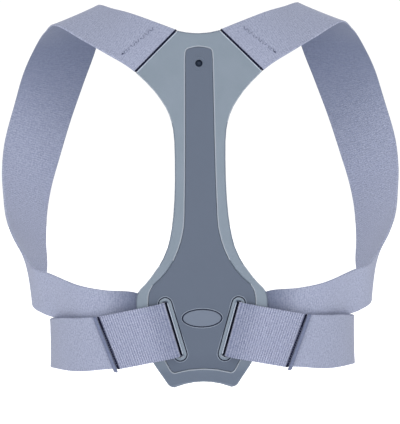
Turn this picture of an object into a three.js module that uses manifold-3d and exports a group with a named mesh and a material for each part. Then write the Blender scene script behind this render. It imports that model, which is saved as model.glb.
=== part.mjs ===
// Posture corrector: a moulded back plate, two elastic shoulder straps and a waist belt.
// Millimetres. The wearer's back is at the origin and the body goes on towards +Y. +X is the
// wearer's right, +Z is up. The origin is the middle of the plate's inner face.
import * as THREE from 'three';
import { mergeVertices } from 'three/addons/utils/BufferGeometryUtils.js';
import Module from 'manifold-3d';

const wasm = await Module();
wasm.setup();

// Driving dimensions

const clearance = 0.35; // between fitted pieces
const play = 0.6; // between a band and the curved face that it lies on
const seamGap = 0.6; // between the two bands that meet at a seam

const plate = {
  height: 318, // lower corners to the inner ends of the arm seams
  width: 116.8,
  thickness: 6,
  archRadius: 830, // bend in the side view
  wrapRadius: 420, // bend in the top view
  edgeRound: 1.8,
  innerEdgeRound: 1.2,
  bottomHollow: 5, // how far the middle of the lower edge is above its corners
  topHollow: 2.6,
  armTipOut: 56.3, // lower end of the arm seam
  armTipBelow: 37.3, // under the plate's upper end
  seamTopOut: 18.8, // upper end of the arm seam
};

const panel = {
  thickness: 1.6,
  inset: 0.8, // how deep its face lies under the face of the plate
  lip: 0.9, // width of the sloping lip round it
  edgeRound: 0.4,
  topCrown: 1.4,
  bottomHollow: 3.6,
};

const hole = { radius: 3.3, belowTop: 29.6, depth: 4 };

const badge = { length: 34.2, height: 14.8, aboveFoot: 61.8, crown: 0.5, groove: 0.9 };

const webbing = { width: 50, strapWidth: 52, thickness: 2 };

const slot = {
  out: 26.2, // middle of the opening
  aboveFoot: 52.1, // above the lower end of the plate
  slant: 16, // degrees, upper end further out
  width: 4.8,
  endSpace: 0.7, // free length at each end of the webbing
  cornerRadius: 1,
  edgeRadius: 1.5,
  draft: 2.7, // how much further out the opening is at the inner face
};

const collar = { width: 3.1, height: 0.4, round: 0.5 };

const pocket = { depth: 9, share: 0.92, gap: 1.4, room: 0.45 };

const form = {
  reach: 161, // how far out the middle of a shoulder strap goes
  depth: 155, // how far forward it goes
  rise: 17.5, // how far above the plate's upper end it goes over the shoulder
};

const waist = {
  halfWidth: 136.2,
  halfDepth: 97,
  centre: 95, // how far its middle is in front of the origin
  squareness: 2.4,
  seamOut: 83.8, // middle of the seam between ribbed webbing and belt
  seamAboveFoot: 40.4,
  seamSlant: 20.9,
  overlap: 84,
};

// Where the shoulder strap passes behind the edge of the plate
const plateEdge = { out: 2, aboveFoot: 60.7, slant: 3, lift: 0.4 };

const hiddenSeam = { out: 45, aboveFoot: 57, slant: 10, lift: 0 };

const binding = { width: 4.4, thickness: 1.3, tail: 3.2, lift: 0.75 };

const hook = { length: 66, height: 38, thickness: 1.2, gap: 0.5 };

// Outlines, rows from the lower end upwards. up is a share of half the plate's height, half
// is a share of half its width.

const plateRows = [
  { up: -1.0, half: 0.432 },
  { up: -0.996, half: 0.487 },
  { up: -0.984, half: 0.53 },
  { up: -0.96, half: 0.573 },
  { up: -0.925, half: 0.639 },
  { up: -0.869, half: 0.74 },
  { up: -0.799, half: 0.845 },
  { up: -0.723, half: 0.922 },
  { up: -0.642, half: 0.976 },
  { up: -0.56, half: 0.998 },
  { up: -0.506, half: 1.0 },
  { up: -0.473, half: 0.983 },
  { up: -0.445, half: 0.935 },
  { up: -0.403, half: 0.822 },
  { up: -0.342, half: 0.699 },
  { up: -0.299, half: 0.616 },
  { up: -0.214, half: 0.51 },
  { up: -0.138, half: 0.46 },
  { up: -0.043, half: 0.42 },
  { up: 0.101, half: 0.392 },
  { up: 0.275, half: 0.385 },
  { up: 0.418, half: 0.397 },
  { up: 0.482, half: 0.428 },
  { up: 0.548, half: 0.488 },
  { up: 0.613, half: 0.592 },
  { up: 0.679, half: 0.728 },
];

const panelRows = [
  { up: -0.915, half: 0.425 },
  { up: -0.911, half: 0.462 },
  { up: -0.895, half: 0.496 },
  { up: -0.858, half: 0.548 },
  { up: -0.786, half: 0.654 },
  { up: -0.704, half: 0.74 },
  { up: -0.623, half: 0.796 },
  { up: -0.538, half: 0.813 },
  { up: -0.484, half: 0.806 },
  { up: -0.44, half: 0.767 },
  { up: -0.375, half: 0.587 },
  { up: -0.305, half: 0.443 },
  { up: -0.211, half: 0.329 },
  { up: -0.151, half: 0.283 },
  { up: -0.086, half: 0.251 },
  { up: 0.009, half: 0.241 },
  { up: 0.14, half: 0.23 },
  { up: 0.27, half: 0.223 },
  { up: 0.45, half: 0.216 },
  { up: 0.63, half: 0.211 },
  { up: 0.807, half: 0.206 },
  { up: 0.873, half: 0.199 },
  { up: 0.892, half: 0.178 },
  { up: 0.897, half: 0.14 },
];

// Middle line of a shoulder strap from the arm of the plate over the shoulder, down the front
// and back under the arm. out and fwd are shares of form.reach and form.depth. up is a share of
// the height over the shoulder, and below the origin of the depth of the slots. lean turns the
// line across the strap in the back view, tilt brings its lateral edge backwards, both in
// degrees. wide is a share of the strap's width, which gives a little with the pull.

const strapRows = [
  { out: 0.335, fwd: 0.13, up: 0.847, lean: 56, tilt: 20, wide: 0.955 },
  { out: 0.447, fwd: 0.2, up: 0.898, lean: 58, tilt: 32, wide: 0.955 },
  { out: 0.562, fwd: 0.297, up: 0.949, lean: 46, tilt: 38, wide: 0.955 },
  { out: 0.68, fwd: 0.419, up: 1.0, lean: 26, tilt: 32, wide: 0.95 },
  { out: 0.714, fwd: 0.594, up: 0.949, lean: 13, tilt: 18, wide: 1.04 },
  { out: 0.754, fwd: 0.774, up: 0.855, lean: 2, tilt: 5, wide: 1.065 },
  { out: 0.831, fwd: 0.916, up: 0.691, lean: -11, tilt: 0, wide: 1.065 },
  { out: 0.896, fwd: 0.981, up: 0.52, lean: -18, tilt: 0, wide: 1.04 },
  { out: 0.963, fwd: 1.0, up: 0.315, lean: -16, tilt: 6, wide: 1.015 },
  { out: 0.997, fwd: 0.981, up: 0.162, lean: -19, tilt: 26, wide: 1.0 },
  { out: 1.006, fwd: 0.923, up: 0.034, lean: -25, tilt: 35, wide: 1.0 },
  { out: 1.0, fwd: 0.826, up: -0.159, lean: -35, tilt: 41, wide: 1.0 },
  { out: 0.975, fwd: 0.684, up: -0.379, lean: -57, tilt: 42, wide: 1.0 },
  { out: 0.967, fwd: 0.503, up: -0.61, lean: -86, tilt: 38, wide: 1.0 },
  { out: 0.91, fwd: 0.403, up: -0.684, lean: -80, tilt: 36, wide: 1.0 },
  { out: 0.828, fwd: 0.325, up: -0.727, lean: -79, tilt: 35, wide: 1.0 },
  { out: 0.656, fwd: 0.174, up: -0.865, lean: -79, tilt: 18, wide: 1.0 },
  { out: 0.522, fwd: 0.11, up: -0.91, lean: -84, tilt: 9, wide: 0.98 },
];

// Belt from the seam to the front. along is the share of the way, wide the share of the
// webbing's width, lift the height of its middle against the seam.

const beltRows = [
  { along: 0, wide: 0.985, lift: 0 },
  { along: 0.12, wide: 0.965, lift: -1.6 },
  { along: 0.3, wide: 0.885, lift: -1.3 },
  { along: 0.45, wide: 0.87, lift: -0.6 },
  { along: 1, wide: 0.88, lift: 0 },
];

// Helpers for closed meshes

function closedGeometry(points, triangles) {
  const geometry = new THREE.BufferGeometry();
  geometry.setAttribute('position', new THREE.Float32BufferAttribute(points.flatMap((p) => [p.x, p.y, p.z]), 3));
  let volume = 0;
  for (const [a, b, c] of triangles) {
    volume += points[a].dot(new THREE.Vector3().crossVectors(points[b], points[c]));
  }
  const outward = volume > 0 ? triangles : triangles.map(([a, b, c]) => [a, c, b]);
  geometry.setIndex(outward.flat());
  return geometry;
}

// Joins rings of equal length, each a convex loop, and closes both ends with strips.
function loft(rings) {
  const count = rings[0].length;
  const triangles = [];
  for (let r = 0; r + 1 < rings.length; r += 1) {
    for (let i = 0; i < count; i += 1) {
      const a = r * count + i;
      const b = r * count + ((i + 1) % count);
      triangles.push([a, b, b + count], [a, b + count, a + count]);
    }
  }
  const last = (rings.length - 1) * count;
  for (let i = 0, j = count - 1; i + 1 < j; i += 1, j -= 1) {
    triangles.push([i, j, i + 1], [last + i, last + i + 1, last + j]);
    if (i + 2 < j) triangles.push([i + 1, j, j - 1], [last + i + 1, last + j - 1, last + j]);
  }
  return closedGeometry(rings.flat(), triangles);
}

function toSolid(geometry) {
  const plain = geometry.clone();
  plain.deleteAttribute('normal');
  plain.deleteAttribute('uv');
  const merged = mergeVertices(plain, 1e-4);
  return new wasm.Manifold(new wasm.Mesh({
    numProp: 3,
    vertProperties: new Float32Array(merged.attributes.position.array),
    triVerts: new Uint32Array(merged.index.array),
  }));
}

function toGeometry(solid) {
  const { vertProperties, triVerts } = solid.getMesh();
  const geometry = new THREE.BufferGeometry();
  geometry.setAttribute('position', new THREE.BufferAttribute(new Float32Array(vertProperties), 3));
  geometry.setIndex(new THREE.BufferAttribute(new Uint32Array(triVerts), 1));
  return geometry;
}

function smoothBetween(rows, key, at, value) {
  let i = 0;
  while (i < rows.length - 2 && rows[i + 1][key] < at) i += 1;
  const share = (at - rows[i][key]) / (rows[i + 1][key] - rows[i][key]);
  return THREE.MathUtils.lerp(rows[i][value], rows[i + 1][value], share * share * (3 - 2 * share));
}

// The plate's bend: every depth is measured from this surface, its inner face.
function bend(x, z) {
  return (z * z) / (2 * plate.archRadius) + (x * x) / (2 * plate.wrapRadius);
}

function outlinePoints(rows, perRow) {
  const points = rows.map((row) => new THREE.Vector3(
    row.half * plate.width / 2,
    0,
    row.up * plate.height / 2,
  ));
  return new THREE.CatmullRomCurve3(points).getPoints(Math.round((rows.length - 1) * perRow));
}

// Adds rows close to both ends, where the rounding of the edges needs them.
function withEndRows(outline, shares, round) {
  const last = outline.length - 1;
  const low = shares.slice(1).map((share) => onOutline(outline, outline[0].z + share * round));
  const high = shares.slice(1).map((share) => onOutline(outline, outline[last].z - share * round));
  return [...outline, ...low, ...high].sort((p, q) => p.z - q.z);
}

function onOutline(outline, z) {
  let i = 0;
  while (outline[i + 1].z < z) i += 1;
  return outline[i].clone().lerp(outline[i + 1], (z - outline[i].z) / (outline[i + 1].z - outline[i].z));
}

function grownOutline(outline, amount) {
  return outline.map((place, i) => {
    const before = outline[Math.max(i - 1, 0)];
    const after = outline[Math.min(i + 1, outline.length - 1)];
    const way = after.clone().sub(before).normalize();
    return place.clone().addScaledVector(new THREE.Vector3(way.z, 0, -way.x), amount);
  });
}

function edgeDrop(distance, radius) {
  if (distance >= radius) return 0;
  return radius - Math.sqrt(radius * radius - (radius - distance) ** 2);
}

// A bent slab inside an outline. The outline is symmetric, its ends are bowed by lowBow and
// highBow, and front and back give the depth, growth and edge rounding of its two faces.
const bowReach = 0.18; // share of the height over which the bow of an end fades out

function slab({ outline, lowBow, highBow, front, back, columns }) {
  const low = outline[0].z;
  const high = outline[outline.length - 1].z;
  const round = Math.max(front.round, back.round);
  const shares = round > 0 ? [0, 0.134, 0.5, 1] : [0];
  const edge = shares.map((share) => share * round);
  const rows = withEndRows(outline, shares, round);
  const points = [];
  const faces = [front, back].map((face) => grownOutline(rows, face.grow).map(({ x: half, z }, row) => {
    const place = rows[row];
    const fromLow = (place.z - low) / (high - low);
    const bow = lowBow * Math.max(0, 1 - fromLow / bowReach) ** 2
      + highBow * Math.max(0, 1 - (1 - fromLow) / bowReach) ** 2;
    const across = [
      ...edge.map((e) => e - half),
      ...Array.from({ length: columns }, (_, i) => (half - round) * (2 * (i + 1) / (columns + 1) - 1)),
      ...edge.map((e) => half - e).reverse(),
    ];
    return across.map((x) => {
      const bowed = z - bow * (1 - (x / half) ** 2);
      const fromEdge = Math.min(half - Math.abs(x), place.z - low, high - place.z);
      const drop = edgeDrop(fromEdge, face.round) * (face === front ? 1 : -1);
      points.push(new THREE.Vector3(x, bend(x, bowed) + face.depth + drop, bowed));
      return points.length - 1;
    });
  }));
  const triangles = [];
  const quad = (a, b, c, d) => triangles.push([a, b, c], [a, c, d]);
  const [outer, inner] = faces;
  const lastRow = rows.length - 1;
  const lastColumn = outer[0].length - 1;
  for (let r = 0; r < lastRow; r += 1) {
    for (let c = 0; c < lastColumn; c += 1) {
      quad(outer[r][c], outer[r][c + 1], outer[r + 1][c + 1], outer[r + 1][c]);
      quad(inner[r][c], inner[r + 1][c], inner[r + 1][c + 1], inner[r][c + 1]);
    }
    quad(outer[r][0], outer[r + 1][0], inner[r + 1][0], inner[r][0]);
    quad(outer[r][lastColumn], inner[r][lastColumn], inner[r + 1][lastColumn], outer[r + 1][lastColumn]);
  }
  for (let c = 0; c < lastColumn; c += 1) {
    quad(outer[0][c], inner[0][c], inner[0][c + 1], outer[0][c + 1]);
    quad(outer[lastRow][c], outer[lastRow][c + 1], inner[lastRow][c + 1], inner[lastRow][c]);
  }
  return closedGeometry(points, triangles);
}

// Places a point of a slot: across goes outwards from the middle of the opening, along goes
// up the opening, depth is measured from the inner face of the plate.
function slotPoint(side, across, along, depth) {
  const slant = THREE.MathUtils.degToRad(slot.slant);
  const x = slot.out + across * Math.cos(slant) + along * Math.sin(slant);
  const z = slotUp - across * Math.sin(slant) + along * Math.cos(slant);
  return new THREE.Vector3(side * x, bend(x, z) + depth, z);
}

function roundedRectangle(halfLength, halfWidth, radius, steps) {
  const loop = [];
  const corners = [[1, 1, 0], [-1, 1, 90], [-1, -1, 180], [1, -1, 270]];
  for (const [sx, sy, start] of corners) {
    for (let i = 0; i <= steps; i += 1) {
      const angle = THREE.MathUtils.degToRad(start + 90 * i / steps);
      loop.push([
        sx * (halfLength - radius) + radius * Math.cos(angle),
        sy * (halfWidth - radius) + radius * Math.sin(angle),
      ]);
    }
  }
  return loop;
}

// Solid of rounded rectangles round a slot, one for each level of depth.
function slotSolid(side, levels, steps) {
  return toSolid(loft(levels.map(({ depth, shift = 0, halfLength, halfWidth, radius }) => (
    roundedRectangle(halfLength, halfWidth, radius, steps)
      .map(([along, across]) => slotPoint(side, across + shift, along, depth))
  ))));
}

function ovalSolid(up, levels, steps) {
  return toSolid(loft(levels.map(({ depth, halfLength, halfHeight }) => (
    Array.from({ length: steps }, (_, i) => {
      const x = halfLength * Math.cos(2 * Math.PI * i / steps);
      const z = up + halfHeight * Math.sin(2 * Math.PI * i / steps);
      return new THREE.Vector3(x, bend(x, z) + depth, z);
    })
  ))));
}

// Values that several pieces share

const top = plate.height / 2;
const foot = -plate.height / 2;
const armTipUp = top - plate.armTipBelow;
const holeUp = top - hole.belowTop;
const badgeUp = foot + badge.aboveFoot;
const slotUp = foot + slot.aboveFoot;
const seamUp = foot + waist.seamAboveFoot;
const face = -plate.thickness;
const panelFace = face + panel.inset;
const recessFloor = panelFace + panel.thickness + clearance;
const collarTop = face - collar.height;
const slotHalfLength = webbing.width / 2 + slot.endSpace;
const slotHalfWidth = slot.width / 2;
const rowsPerEntry = 1.5;
const plateOutline = [
  ...outlinePoints([...plateRows, {
    up: armTipUp / top,
    half: plate.armTipOut / (plate.width / 2),
  }], rowsPerEntry),
];
const armTip = new THREE.Vector3(plate.armTipOut, 0, armTipUp);
const seamTop = new THREE.Vector3(plate.seamTopOut, 0, top);
const seamSteps = 5;
for (let i = 1; i <= seamSteps; i += 1) {
  plateOutline.push(armTip.clone().lerp(seamTop, i / seamSteps));
}
const panelOutline = outlinePoints(panelRows, rowsPerEntry);

// Sections of a band: each holds its edge points a and b on the face that keeps its place,
// and the thickness grows from there.

function bandGeometry(sections, thickness, growth) {
  const rings = sections.map(({ a, b }, i) => {
    const before = sections[Math.max(i - 1, 0)];
    const after = sections[Math.min(i + 1, sections.length - 1)];
    const way = after.a.clone().add(after.b).sub(before.a).sub(before.b);
    const normal = new THREE.Vector3().crossVectors(way, b.clone().sub(a)).normalize();
    const step = normal.multiplyScalar(thickness * growth);
    return [a, b, b.clone().add(step), a.clone().add(step)];
  });
  return loft(rings);
}

// Evenly spaced sections through two rails of as many points.
function railSections(rows, count) {
  const railA = new THREE.CatmullRomCurve3(rows.map((row) => row.a));
  const railB = new THREE.CatmullRomCurve3(rows.map((row) => row.b));
  return Array.from({ length: count + 1 }, (_, i) => ({
    a: railA.getPoint(i / count),
    b: railB.getPoint(i / count),
  }));
}

// Shoulder strap

// The strap's end in the arm of the plate, distance inwards from the seam line.
function armSection(side, inwards, share) {
  const along = seamTop.clone().sub(armTip).normalize();
  const inward = new THREE.Vector3(-along.z, 0, along.x);
  const middle = armTip.clone().add(seamTop).multiplyScalar(0.5).addScaledVector(inward, inwards);
  const half = armTip.distanceTo(seamTop) / 2 * share;
  const depth = (face - webbing.thickness) / 2;
  const place = (sign) => {
    const p = middle.clone().addScaledVector(along, sign * half);
    return new THREE.Vector3(side * p.x, bend(p.x, p.z) + depth, p.z);
  };
  return { a: place(1), b: place(-1) };
}

function strapRail(side) {
  const centres = strapRows.map((row) => new THREE.Vector3(
    row.out * form.reach,
    row.fwd * form.depth,
    row.up >= 0 ? row.up * (top + form.rise) : -row.up * slotUp,
  ));
  return strapRows.map((row, i) => {
    const lean = THREE.MathUtils.degToRad(row.lean);
    const tilt = THREE.MathUtils.degToRad(row.tilt);
    const across = new THREE.Vector3(
      Math.cos(tilt) * Math.cos(lean),
      -Math.sin(tilt),
      -Math.cos(tilt) * Math.sin(lean),
    );
    const before = centres[Math.max(i - 1, 0)];
    const after = centres[Math.min(i + 1, centres.length - 1)];
    const way = after.clone().sub(before).normalize();
    const half = webbing.strapWidth * row.wide / 2 / new THREE.Vector3().crossVectors(across, way).length();
    const flip = new THREE.Vector3(side, 1, 1);
    return {
      a: centres[i].clone().addScaledVector(across, -half).multiply(flip),
      b: centres[i].clone().addScaledVector(across, half).multiply(flip),
    };
  });
}

// A section that lies behind the plate, across the strap at the given place and slant.
function behindPlate(side, out, section) {
  const slant = THREE.MathUtils.degToRad(section.slant);
  const place = (sign) => {
    const x = out + sign * webbing.width / 2 * Math.sin(slant);
    const z = foot + section.aboveFoot + sign * webbing.width / 2 * Math.cos(slant);
    return new THREE.Vector3(side * x, bend(x, z) + play + section.lift, z);
  };
  return { a: place(-1), b: place(1) };
}

function strapSections(side) {
  const start = armSection(side, -pocket.gap, 1);
  const edge = behindPlate(side, plate.width / 2 + plateEdge.out, plateEdge);
  const end = behindPlate(side, hiddenSeam.out, hiddenSeam);
  const run = railSections([start, ...strapRail(side), edge, end], 96);
  return [
    armSection(side, pocket.depth, pocket.share),
    armSection(side, -pocket.gap + clearance, pocket.share),
    ...run,
  ];
}

function strapGeometry(side) {
  return bandGeometry(strapSections(side), webbing.thickness, side);
}

// Ribbed webbing, in sections from the hidden seam through the slot to the belt's seam

function seamSection(side, shift) {
  const slant = THREE.MathUtils.degToRad(waist.seamSlant);
  const half = webbing.width / 2;
  const place = (sign) => {
    const x = waist.seamOut + shift + sign * half * Math.sin(slant);
    const z = seamUp + sign * half * Math.cos(slant);
    return new THREE.Vector3(side * x, waistDepth(x), z);
  };
  return { a: place(-1), b: place(1) };
}

// How far forward the inner face of the belt is, behind the wearer.
function waistDepth(x) {
  const share = Math.min(Math.abs(x) / waist.halfWidth, 1);
  const fall = (1 - share ** waist.squareness) ** (1 / waist.squareness);
  return waist.centre - waist.halfDepth * fall;
}

function ribbedSections(side) {
  const half = webbing.width / 2;
  const across = (distance, depth) => ({
    a: slotPoint(side, distance, -half, depth),
    b: slotPoint(side, distance, half, depth),
  });
  const turnRadius = slot.edgeRadius + play;
  const turnCentre = slotHalfWidth + slot.edgeRadius;
  const sections = [];
  const hiddenEnd = behindPlate(side, hiddenSeam.out - seamGap, hiddenSeam);
  const bar = across(turnCentre + slot.draft, play);
  const hiddenSteps = 4;
  for (let i = 0; i < hiddenSteps; i += 1) {
    const share = i / hiddenSteps;
    sections.push(between(side, hiddenEnd, bar, share, play));
  }
  const turnSteps = 5;
  for (let i = 0; i <= turnSteps; i += 1) {
    const angle = Math.PI / 2 * i / turnSteps;
    sections.push(across(
      turnCentre + slot.draft - turnRadius * Math.sin(angle),
      -slot.edgeRadius + turnRadius * Math.cos(angle),
    ));
  }
  for (let i = 0; i <= turnSteps; i += 1) {
    const angle = Math.PI / 2 * i / turnSteps;
    sections.push(across(
      turnCentre - turnRadius * Math.cos(angle),
      collarTop + slot.edgeRadius - turnRadius * Math.sin(angle),
    ));
  }
  const overCollar = across(slotHalfWidth + collar.width, collarTop - play);
  sections.push(overCollar);
  const seam = seamSection(side, -seamGap / 2);
  const outSteps = 10;
  for (let i = 1; i <= outSteps; i += 1) {
    const share = i / outSteps;
    sections.push({
      a: overPlate(side, overCollar.a, seam.a, share),
      b: overPlate(side, overCollar.b, seam.b, share),
    });
  }
  return sections;
}

function between(side, from, to, share, depth) {
  const mix = (p, q) => {
    const m = p.clone().lerp(q, share);
    return new THREE.Vector3(m.x, bend(m.x, m.z) + depth, m.z);
  };
  return { a: mix(from.a, to.a), b: mix(from.b, to.b) };
}

// From the collar to the seam the webbing follows the plate and then the belt's oval.
function overPlate(side, from, to, share) {
  const m = from.clone().lerp(to, share);
  const onPlate = bend(m.x, m.z) + collarTop - play;
  const onWaist = waistDepth(m.x);
  const blend = THREE.MathUtils.smoothstep(share, 0.35, 1);
  return new THREE.Vector3(m.x, THREE.MathUtils.lerp(onPlate, onWaist, blend), m.z);
}

// Waist belt

function waistPoint(side, angle, height, offset) {
  const power = 2 / waist.squareness;
  const sine = Math.sin(angle);
  const cosine = Math.cos(angle);
  const x = (waist.halfWidth + offset) * Math.sign(sine) * Math.abs(sine) ** power;
  const y = waist.centre - (waist.halfDepth + offset) * Math.sign(cosine) * Math.abs(cosine) ** power;
  return new THREE.Vector3(side * x, y, height);
}

function waistAngle(x) {
  return Math.asin((Math.abs(x) / waist.halfWidth) ** (waist.squareness / 2));
}

function beltSections(side, outside) {
  const seam = seamSection(side, seamGap / 2);
  const startA = waistAngle(seam.a.x);
  const startB = waistAngle(seam.b.x);
  const end = Math.PI + waistAngle(waist.overlap / 2);
  const stack = webbing.thickness + hook.thickness + 2 * hook.gap;
  const steps = 56;
  return Array.from({ length: steps + 1 }, (_, i) => {
    const along = i / steps;
    const half = webbing.width / 2 * smoothBetween(beltRows, 'along', along, 'wide');
    const middle = seamUp + smoothBetween(beltRows, 'along', along, 'lift');
    const slant = THREE.MathUtils.degToRad(waist.seamSlant) * (1 - THREE.MathUtils.smoothstep(along, 0, 0.2));
    const offset = outside ? stack * THREE.MathUtils.smoothstep(along, 0.55, 0.8) : 0;
    const height = half * Math.cos(slant);
    return {
      a: waistPoint(side, THREE.MathUtils.lerp(startA, end, along), middle - height, offset),
      b: waistPoint(side, THREE.MathUtils.lerp(startB, end, along), middle + height, offset),
    };
  });
}

function beltGeometry(side, outside) {
  return bandGeometry(beltSections(side, outside), webbing.thickness, side);
}

// Seam binding: a narrow bar over the seam, its lower end stands out below the belt

function bindingGeometry(side) {
  const lift = webbing.thickness + binding.lift;
  const rows = [0, binding.width].map((shift) => {
    const { a, b } = seamSection(side, shift);
    const down = a.clone().sub(b).normalize();
    return { a: a.addScaledVector(down, binding.tail), b };
  });
  const way = rows[1].a.clone().sub(rows[0].a);
  const normal = new THREE.Vector3().crossVectors(way, rows[0].b.clone().sub(rows[0].a)).normalize();
  normal.multiplyScalar(side);
  for (const row of rows) {
    row.a.addScaledVector(normal, lift);
    row.b.addScaledVector(normal, lift);
  }
  return bandGeometry(rows, binding.thickness, side);
}

// Hook patch between the two belt ends

function hookGeometry() {
  const reach = waistAngle(hook.length / 2);
  const offset = webbing.thickness + hook.gap;
  const steps = 12;
  const sections = Array.from({ length: steps + 1 }, (_, i) => {
    const angle = Math.PI + THREE.MathUtils.lerp(-reach, reach, i / steps);
    return {
      a: waistPoint(1, angle, seamUp - hook.height / 2, offset),
      b: waistPoint(1, angle, seamUp + hook.height / 2, offset),
    };
  });
  return bandGeometry(sections, hook.thickness, 1);
}

// Back plate

function plateBody() {
  return toSolid(slab({
    outline: plateOutline,
    lowBow: -plate.bottomHollow,
    highBow: plate.topHollow,
    front: { depth: face, grow: 0, round: plate.edgeRound },
    back: { depth: 0, grow: 0, round: plate.innerEdgeRound },
    columns: 5,
  }));
}

// The space for the panel, with its sloping lip.
function panelSpace() {
  const shape = { outline: panelOutline, lowBow: -panel.bottomHollow, highBow: -panel.topCrown, columns: 3 };
  const slope = panel.lip / panel.inset;
  const well = toSolid(slab({
    ...shape,
    front: { depth: face - panel.inset, grow: clearance, round: 0 },
    back: { depth: recessFloor, grow: clearance, round: 0 },
  }));
  const lip = toSolid(slab({
    ...shape,
    front: { depth: face - panel.inset, grow: clearance + 2 * slope * panel.inset, round: 0 },
    back: { depth: panelFace, grow: clearance, round: 0 },
  }));
  return well.add(lip);
}

function collarSolid(side) {
  const outer = {
    halfLength: slotHalfLength + collar.width,
    halfWidth: slotHalfWidth + collar.width,
    radius: slotHalfWidth + collar.width,
  };
  const inset = (amount) => ({
    halfLength: outer.halfLength - amount,
    halfWidth: outer.halfWidth - amount,
    radius: outer.radius - amount,
  });
  return slotSolid(side, [
    { depth: recessFloor + 0.5, ...outer },
    { depth: collarTop + collar.round, ...outer },
    { depth: collarTop + collar.round * 0.3, ...inset(collar.round * 0.3) },
    { depth: collarTop, ...inset(collar.round) },
  ], 6);
}

// The opening, with its edges rounded at both faces so that the webbing runs round them.
function slotOpening(side) {
  const r = slot.edgeRadius;
  const grown = (amount) => ({
    halfLength: slotHalfLength + amount,
    halfWidth: slotHalfWidth + amount,
    radius: slot.cornerRadius + amount,
  });
  const turn = [0, 30, 60, 90].map((degrees) => {
    const angle = THREE.MathUtils.degToRad(degrees);
    return { rise: r * Math.sin(angle), spread: r * (1 - Math.cos(angle)) };
  });
  return slotSolid(side, [
    { depth: 1, shift: slot.draft, ...grown(r) },
    ...turn.slice().reverse().map(({ rise, spread }) => ({
      depth: -r + rise,
      shift: slot.draft,
      ...grown(spread),
    })),
    ...turn.map(({ rise, spread }) => ({ depth: collarTop + r - rise, shift: 0, ...grown(spread) })),
    { depth: collarTop - 1, shift: 0, ...grown(r) },
  ], 4);
}

function pocketSolid(side) {
  const wall = webbing.thickness + 2 * pocket.room;
  const spread = pocket.share + 2 * pocket.room / armTip.distanceTo(seamTop);
  const sections = [
    armSection(side, pocket.depth + pocket.room, spread),
    armSection(side, -pocket.gap, spread),
  ];
  for (const section of sections) {
    section.a.y -= pocket.room;
    section.b.y -= pocket.room;
  }
  return toSolid(bandGeometry(sections, wall, side));
}

function plateGeometry() {
  let solid = plateBody().subtract(panelSpace());
  for (const side of [-1, 1]) {
    solid = solid.add(collarSolid(side));
    solid = solid.subtract(slotOpening(side));
    solid = solid.subtract(pocketSolid(side));
  }
  const bore = ovalSolid(holeUp, [
    { depth: face - 1, halfLength: hole.radius, halfHeight: hole.radius },
    { depth: panelFace + hole.depth - panel.inset, halfLength: hole.radius, halfHeight: hole.radius },
  ], 24);
  return toGeometry(solid.subtract(bore));
}

// Centre panel

function panelGeometry() {
  let solid = toSolid(slab({
    outline: panelOutline,
    lowBow: -panel.bottomHollow,
    highBow: -panel.topCrown,
    front: { depth: panelFace, grow: 0, round: panel.edgeRound },
    back: { depth: recessFloor - clearance, grow: 0, round: 0 },
    columns: 3,
  }));
  const spread = collar.width + badge.groove;
  const collarSpace = {
    halfLength: slotHalfLength + spread,
    halfWidth: slotHalfWidth + spread,
    radius: slotHalfWidth + spread,
  };
  for (const side of [-1, 1]) {
    solid = solid.subtract(slotSolid(side, [
      { depth: recessFloor + 1, ...collarSpace },
      { depth: panelFace - 1, ...collarSpace },
    ], 6));
  }
  const badgeSpace = {
    halfLength: badge.length / 2 + badge.groove,
    halfHeight: badge.height / 2 + badge.groove,
  };
  solid = solid.subtract(ovalSolid(badgeUp, [
    { depth: recessFloor + 1, ...badgeSpace },
    { depth: panelFace - 1, ...badgeSpace },
  ], 40));
  const bore = { halfLength: hole.radius, halfHeight: hole.radius };
  return toGeometry(solid.subtract(ovalSolid(holeUp, [
    { depth: recessFloor + 1, ...bore },
    { depth: panelFace - 1, ...bore },
  ], 24)));
}

// Oval badge, bare

function badgeGeometry() {
  const inset = (amount) => ({
    halfLength: badge.length / 2 - amount,
    halfHeight: badge.height / 2 - amount,
  });
  return toGeometry(ovalSolid(badgeUp, [
    { depth: recessFloor - clearance, ...inset(0) },
    { depth: panelFace + badge.crown, ...inset(0) },
    { depth: panelFace + badge.crown * 0.3, ...inset(badge.crown * 0.4) },
    { depth: panelFace, ...inset(badge.crown * 1.6) },
  ], 40));
}

// Assembly

const lightPlastic = { color: 0x8b9aab, roughness: 0.55, metalness: 0 };
const darkPlastic = { color: 0x66737f, roughness: 0.6, metalness: 0 };
const badgePlastic = { color: 0x7a8596, roughness: 0.55, metalness: 0 };
const smoothElastic = { color: 0xa1a6bb, roughness: 0.9, metalness: 0 };
const ribbedElastic = { color: 0x9da2b8, roughness: 0.9, metalness: 0 };
const bindingTape = { color: 0x626984, roughness: 0.9, metalness: 0 };
const hookTape = { color: 0x6d748c, roughness: 0.8, metalness: 0 };

const group = new THREE.Group();

function addPart(name, geometry, look) {
  geometry.computeVertexNormals();
  const mesh = new THREE.Mesh(geometry, new THREE.MeshStandardMaterial(look));
  mesh.name = name;
  group.add(mesh);
}

addPart('back_plate', plateGeometry(), lightPlastic);
addPart('centre_panel', panelGeometry(), darkPlastic);
addPart('oval_badge', badgeGeometry(), badgePlastic);
for (const [hand, side] of [['left', -1], ['right', 1]]) {
  addPart(`shoulder_strap_${hand}`, strapGeometry(side), smoothElastic);
  addPart(`ribbed_webbing_${hand}`, bandGeometry(ribbedSections(side), webbing.thickness, side), ribbedElastic);
  addPart(`seam_binding_${hand}`, bindingGeometry(side), bindingTape);
  addPart(`waist_belt_${hand}`, beltGeometry(side, hand === 'right'), smoothElastic);
}
addPart('hook_patch', hookGeometry(), hookTape);

export default group;
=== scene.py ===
import math
import random

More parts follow.
